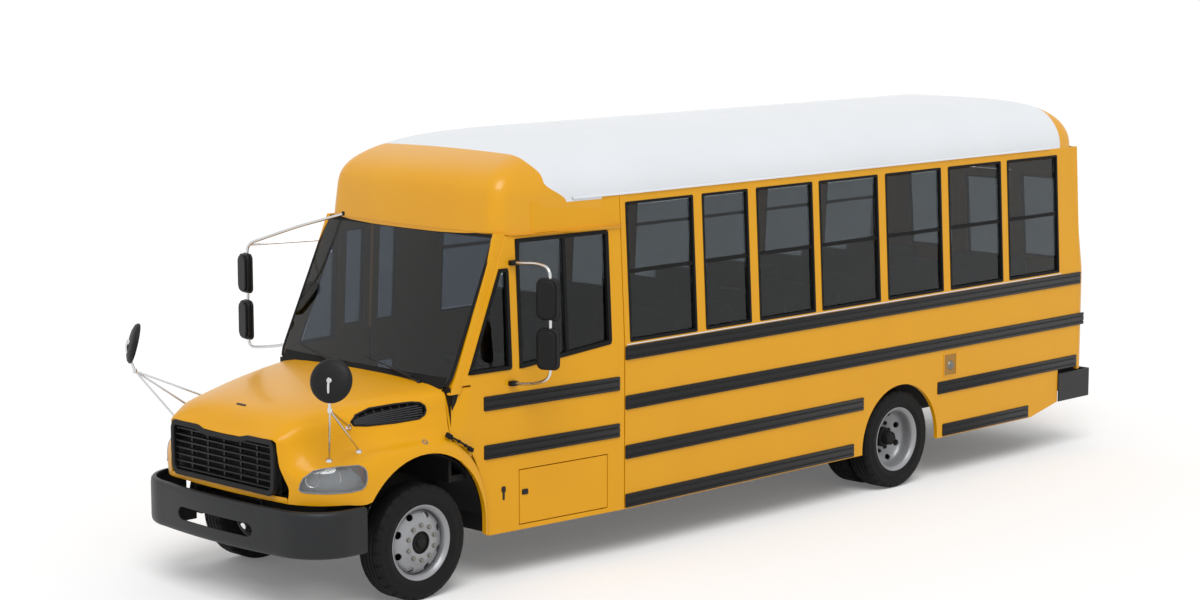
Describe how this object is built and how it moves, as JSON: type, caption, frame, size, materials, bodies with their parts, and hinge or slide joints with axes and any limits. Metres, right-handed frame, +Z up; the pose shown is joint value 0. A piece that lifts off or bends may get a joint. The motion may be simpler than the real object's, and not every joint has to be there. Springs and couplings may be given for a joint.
{
  "type": "school bus",
  "caption": "Full-size school bus with a tilting hood, steered front wheels, twin rear wheels, opening doors and a cabin with benches.",
  "frame": {"origin": "middle of the bounding box at ground level, on the centre line of the bus", "axes": "+X towards the front bumper, +Y towards the driver's side, +Z up"},
  "size_m": [10.28, 3.18, 3.6],
  "materials": {
    "yellow_paint": "gloss",
    "white_paint": "gloss",
    "chassis_steel": "satin",
    "bumper_steel": "satin",
    "bare_steel": "satin",
    "engine_paint": "matte",
    "floor_rubber": "matte",
    "glass": "gloss",
    "sash_black": "satin",
    "rail_black": "satin",
    "dark_plastic": "matte",
    "seat_vinyl": "satin",
    "seat_steel": "satin",
    "lamp_red": "gloss",
    "lamp_clear": "gloss",
    "tyre_rubber": "matte",
    "wheel_silver": "satin"
  },
  "bodies": {
    "root": {"frame_rails": "chassis_steel", "crossmembers": "chassis_steel", "front_bumper": "bumper_steel", "rear_bumper": "bumper_steel", "front_axle": "chassis_steel", "rear_axle": "chassis_steel", "leaf_springs": "chassis_steel", "driveshaft": "bare_steel", "engine_block": "engine_paint", "radiator": "chassis_steel", "fuel_tank": "chassis_steel", "exhaust": "bare_steel", "battery_box": "chassis_steel", "floor": "floor_rubber", "wheel_housings": "floor_rubber", "entry_steps": "floor_rubber", "left_wall": "yellow_paint", "right_wall": "yellow_paint", "driver_side": "yellow_paint", "entrance_side": "yellow_paint", "rear_wall": "yellow_paint", "roof": "white_paint", "front_cap": "yellow_paint", "cowl": "yellow_paint", "windshield": "glass", "window_glass": "glass", "window_sashes": "sash_black", "rub_rails": "rail_black", "dashboard": "dark_plastic", "driver_seat": "seat_vinyl", "seat_frames": "seat_steel", "passenger_seats": "seat_vinyl", "wipers": "dark_plastic", "side_mirrors": "dark_plastic", "tail_lamps": "lamp_red"},
    "hood": {"hood": "yellow_paint", "grille": "dark_plastic", "headlamps": "lamp_clear", "crossview_mirrors": "dark_plastic"},
    "entrance_front": {"entrance_door_front": "yellow_paint"},
    "entrance_rear": {"entrance_door_rear": "yellow_paint"},
    "rear_door": {"rear_door": "yellow_paint"},
    "battery_hatch": {"battery_hatch": "yellow_paint"},
    "knuckle_left": {"knuckle_left": "chassis_steel"},
    "knuckle_right": {"knuckle_right": "chassis_steel"},
    "tie_rod": {"tie_rod": "chassis_steel"},
    "steering_wheel": {"steering_wheel": "dark_plastic"},
    "wheel_front_left": {"tyre_front_left": "tyre_rubber", "rim_front_left": "wheel_silver"},
    "wheel_front_right": {"tyre_front_right": "tyre_rubber", "rim_front_right": "wheel_silver"},
    "wheels_rear_left": {"tyres_rear_left": "tyre_rubber", "rims_rear_left": "wheel_silver"},
    "wheels_rear_right": {"tyres_rear_right": "tyre_rubber", "rims_rear_right": "wheel_silver"}
  },
  "joints": [
    {"name": "steer_left", "type": "hinge", "parent": "root", "child": "knuckle_left", "pos_m": [3.93, 0.85, 0.468], "axis": [0, 0, 1], "range_deg": [-35, 35]},
    {"name": "steer_right", "type": "hinge", "parent": "root", "child": "knuckle_right", "pos_m": [3.93, -0.85, 0.468], "axis": [0, 0, 1], "range_deg": [-35, 35]},
    {"name": "tie_rod_pivot", "type": "hinge", "parent": "knuckle_left", "child": "tie_rod", "pos_m": [3.705, 0.85, 0.352], "axis": [0, 0, 1], "range_deg": [-35, 35]},
    {"name": "steering_wheel_turn", "type": "hinge", "parent": "root", "child": "steering_wheel", "pos_m": [2.85, 0.48, 1.69], "axis": [-0.5736, 0, 0.8191], "range_deg": [-350, 350]},
    {"name": "front_left_spin", "type": "hinge", "parent": "knuckle_left", "child": "wheel_front_left", "pos_m": [3.93, 1.005, 0.468], "axis": [0, 1, 0], "continuous": true},
    {"name": "front_right_spin", "type": "hinge", "parent": "knuckle_right", "child": "wheel_front_right", "pos_m": [3.93, -1.005, 0.468], "axis": [0, 1, 0], "continuous": true},
    {"name": "rear_left_spin", "type": "hinge", "parent": "root", "child": "wheels_rear_left", "pos_m": [-2.04, 0.9, 0.468], "axis": [0, 1, 0], "continuous": true},
    {"name": "rear_right_spin", "type": "hinge", "parent": "root", "child": "wheels_rear_right", "pos_m": [-2.04, -0.9, 0.468], "axis": [0, 1, 0], "continuous": true},
    {"name": "hood_tilt", "type": "hinge", "parent": "root", "child": "hood", "pos_m": [5.12, 0, 0.62], "axis": [0, 1, 0], "range_deg": [0, 60]},
    {"name": "entrance_front_swing", "type": "hinge", "parent": "root", "child": "entrance_front", "pos_m": [2.9238, -1.1311, 1.6], "axis": [0, 0, 1], "range_deg": [0, 88]},
    {"name": "entrance_rear_swing", "type": "hinge", "parent": "root", "child": "entrance_rear", "pos_m": [2.1518, -1.1872, 1.6], "axis": [0, 0, -1], "range_deg": [0, 88]},
    {"name": "rear_door_swing", "type": "hinge", "parent": "root", "child": "rear_door", "pos_m": [-5.07, -0.342, 1.8], "axis": [0, 0, 1], "range_deg": [0, 110]},
    {"name": "battery_hatch_swing", "type": "hinge", "parent": "root", "child": "battery_hatch", "pos_m": [2.869, 1.1351, 0.67], "axis": [0, 0, -1], "range_deg": [0, 110]}
  ],
  "couplings": [
    {"joint": "steer_right", "follows": "steer_left", "ratio": 1},
    {"joint": "tie_rod_pivot", "follows": "steer_left", "ratio": -1},
    {"joint": "steering_wheel_turn", "follows": "steer_left", "ratio": 10},
    {"joint": "entrance_rear_swing", "follows": "entrance_front_swing", "ratio": 1}
  ]
}
